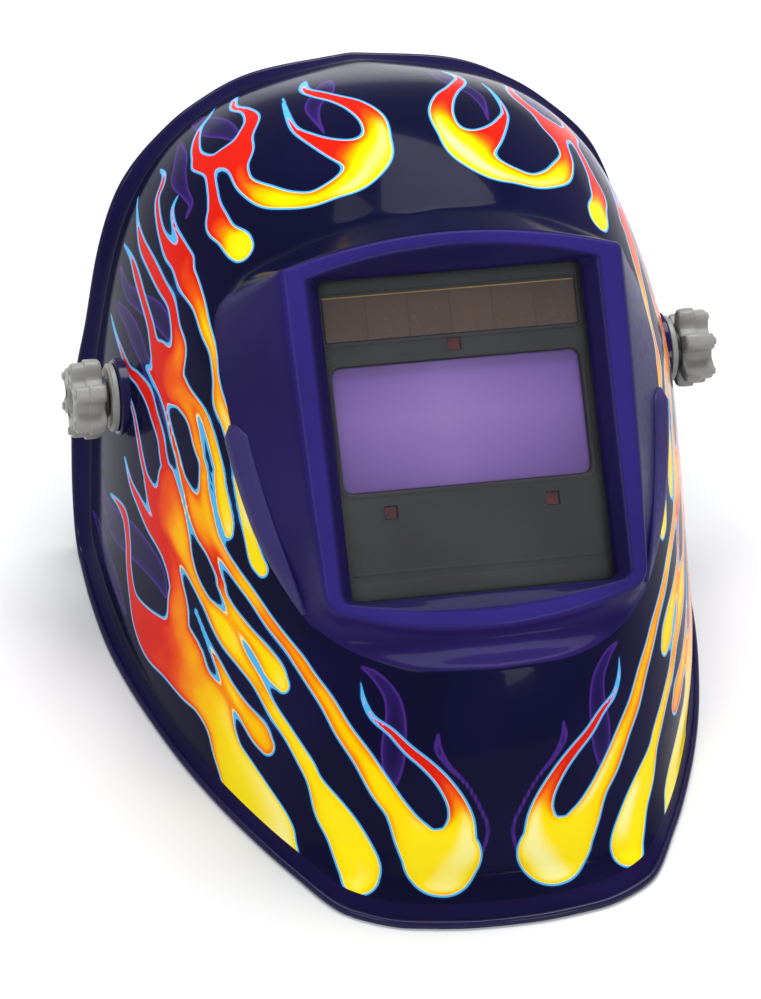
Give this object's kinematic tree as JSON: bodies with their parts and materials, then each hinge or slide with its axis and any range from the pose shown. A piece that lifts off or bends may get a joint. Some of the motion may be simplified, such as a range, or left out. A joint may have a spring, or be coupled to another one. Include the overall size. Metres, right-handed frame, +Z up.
{
  "type": "welding helmet",
  "caption": "Auto-darkening welding helmet: flip-up shell with a lens cartridge, friction pivots with hand knobs, and an adjustable headband.",
  "frame": {"origin": "on the surface it stands on, under the centre of the whole helmet's box", "axes": "+X to the wearer's left, -Y to the front of the helmet, +Z up; the helmet stands on the flat lower edge of its shell"},
  "size_m": [0.2666, 0.3664, 0.211],
  "materials": {
    "shell_plastic": "painted dark blue with flames over a satin purple moulding",
    "gasket_rubber": "matt",
    "cover_lens": "clear",
    "inner_lens": "clear",
    "cartridge_plastic": "fine grain",
    "filter": "violet mirror coating",
    "solar_cell": "brown cells with fine lines",
    "sensor_window": "dark red, polished",
    "board": "solder mask",
    "cover_plastic": "fine grain",
    "dial_plastic": "satin",
    "button_plastic": "satin",
    "tray_plastic": "satin",
    "cell_steel": "brushed",
    "retainer_plastic": "fine grain",
    "latch_plastic": "satin",
    "band_plastic": "satin",
    "brow_cloth": "brushed knit",
    "nape_cloth": "brushed knit",
    "arm_plastic": "satin",
    "bolt_plastic": "satin",
    "washer_fibre": "fibre",
    "knob_plastic": "satin, fine grain",
    "ratchet_plastic": "satin",
    "ratchet_knob_plastic": "satin, ribbed"
  },
  "bodies": {
    "headgear": {"headband": "band_plastic", "sweatband": "brow_cloth", "nape_pad": "nape_cloth", "crown_strap_left": "band_plastic", "crown_strap_right": "band_plastic", "crown_snap": "band_plastic", "top_strap": "band_plastic", "pivot_arm_left": "arm_plastic", "pivot_arm_right": "arm_plastic", "pivot_bolt_left": "bolt_plastic", "pivot_bolt_right": "bolt_plastic", "angle_stop_left": "arm_plastic", "angle_stop_right": "arm_plastic", "friction_washer_left": "washer_fibre", "friction_washer_right": "washer_fibre", "pivot_disc_left": "knob_plastic", "pivot_disc_right": "knob_plastic", "ratchet_housing": "ratchet_plastic", "ratchet_cover": "ratchet_plastic"},
    "visor": {"visor_shell": "shell_plastic", "lens_gasket": "gasket_rubber", "outer_cover_lens": "cover_lens", "cartridge_housing": "cartridge_plastic", "filter_glass": "filter", "solar_panel": "solar_cell", "arc_sensor_top": "sensor_window", "arc_sensor_left": "sensor_window", "arc_sensor_right": "sensor_window", "inner_cover_lens": "inner_lens", "circuit_board": "board", "control_cover": "cover_plastic", "lens_retainer": "retainer_plastic"},
    "tension_knob_left": {"tension_knob_left": "knob_plastic"},
    "tension_knob_right": {"tension_knob_right": "knob_plastic"},
    "ratchet_knob": {"ratchet_knob": "ratchet_knob_plastic", "ratchet_pinion": "ratchet_plastic"},
    "rack_tail_left": {"rack_tail_left": "band_plastic"},
    "rack_tail_right": {"rack_tail_right": "band_plastic"},
    "shade_dial": {"shade_dial": "dial_plastic"},
    "sensitivity_dial": {"sensitivity_dial": "dial_plastic"},
    "delay_dial": {"delay_dial": "dial_plastic"},
    "test_button": {"test_button": "button_plastic"},
    "battery_tray_left": {"battery_tray_left": "tray_plastic", "battery_cell_left": "cell_steel"},
    "battery_tray_right": {"battery_tray_right": "tray_plastic", "battery_cell_right": "cell_steel"},
    "retainer_latch_left": {"retainer_latch_left": "latch_plastic"},
    "retainer_latch_right": {"retainer_latch_right": "latch_plastic"}
  },
  "joints": [
    {"name": "visor_tilt", "type": "hinge", "parent": "headgear", "child": "visor", "pos_m": [0, 0.04514, 0.09151], "axis": [-1, 0, 0], "range_deg": [-18, 52]},
    {"name": "tension_knob_left_turn", "type": "hinge", "parent": "headgear", "child": "tension_knob_left", "pos_m": [0.125, 0.04514, 0.09151], "axis": [1, 0, 0], "range_deg": [-180, 180]},
    {"name": "tension_knob_right_turn", "type": "hinge", "parent": "headgear", "child": "tension_knob_right", "pos_m": [-0.125, 0.04514, 0.09151], "axis": [-1, 0, 0], "range_deg": [-180, 180]},
    {"name": "ratchet_knob_turn", "type": "hinge", "parent": "headgear", "child": "ratchet_knob", "pos_m": [0, 0.16684, 0.02908], "axis": [0, 0.9516, -0.3074], "range_deg": [-90, 90]},
    {"name": "rack_tail_left_slide", "type": "slide", "parent": "headgear", "child": "rack_tail_left", "axis": [1, 0, 0], "range_m": [-0.0081, 0.0081]},
    {"name": "rack_tail_right_slide", "type": "slide", "parent": "headgear", "child": "rack_tail_right", "axis": [1, 0, 0], "range_m": [-0.0081, 0.0081]},
    {"name": "shade_dial_turn", "type": "hinge", "parent": "visor", "child": "shade_dial", "pos_m": [0.017, -0.08493, 0.1037], "axis": [0, 0.6959, -0.7181], "range_deg": [-135, 135]},
    {"name": "sensitivity_dial_turn", "type": "hinge", "parent": "visor", "child": "sensitivity_dial", "pos_m": [0, -0.08493, 0.1037], "axis": [0, 0.6959, -0.7181], "range_deg": [-135, 135]},
    {"name": "delay_dial_turn", "type": "hinge", "parent": "visor", "child": "delay_dial", "pos_m": [-0.017, -0.08493, 0.1037], "axis": [0, 0.6959, -0.7181], "range_deg": [-135, 135]},
    {"name": "test_button_press", "type": "slide", "parent": "visor", "child": "test_button", "axis": [0, -0.6959, 0.7181], "range_m": [0, 0.0012], "stiffness_N_per_m": 400, "springref_m": -0.001},
    {"name": "battery_tray_left_slide", "type": "slide", "parent": "visor", "child": "battery_tray_left", "axis": [1, 0, 0], "range_m": [0, 0.009]},
    {"name": "battery_tray_right_slide", "type": "slide", "parent": "visor", "child": "battery_tray_right", "axis": [-1, 0, 0], "range_m": [0, 0.009]},
    {"name": "retainer_latch_left_slide", "type": "slide", "parent": "visor", "child": "retainer_latch_left", "axis": [-1, 0, 0], "range_m": [0, 0.003]},
    {"name": "retainer_latch_right_slide", "type": "slide", "parent": "visor", "child": "retainer_latch_right", "axis": [1, 0, 0], "range_m": [0, 0.003]}
  ],
  "couplings": [
    {"joint": "rack_tail_left_slide", "follows": "ratchet_knob_turn", "m_per_rad": 0.005093},
    {"joint": "rack_tail_right_slide", "follows": "ratchet_knob_turn", "m_per_rad": -0.005093}
  ]
}
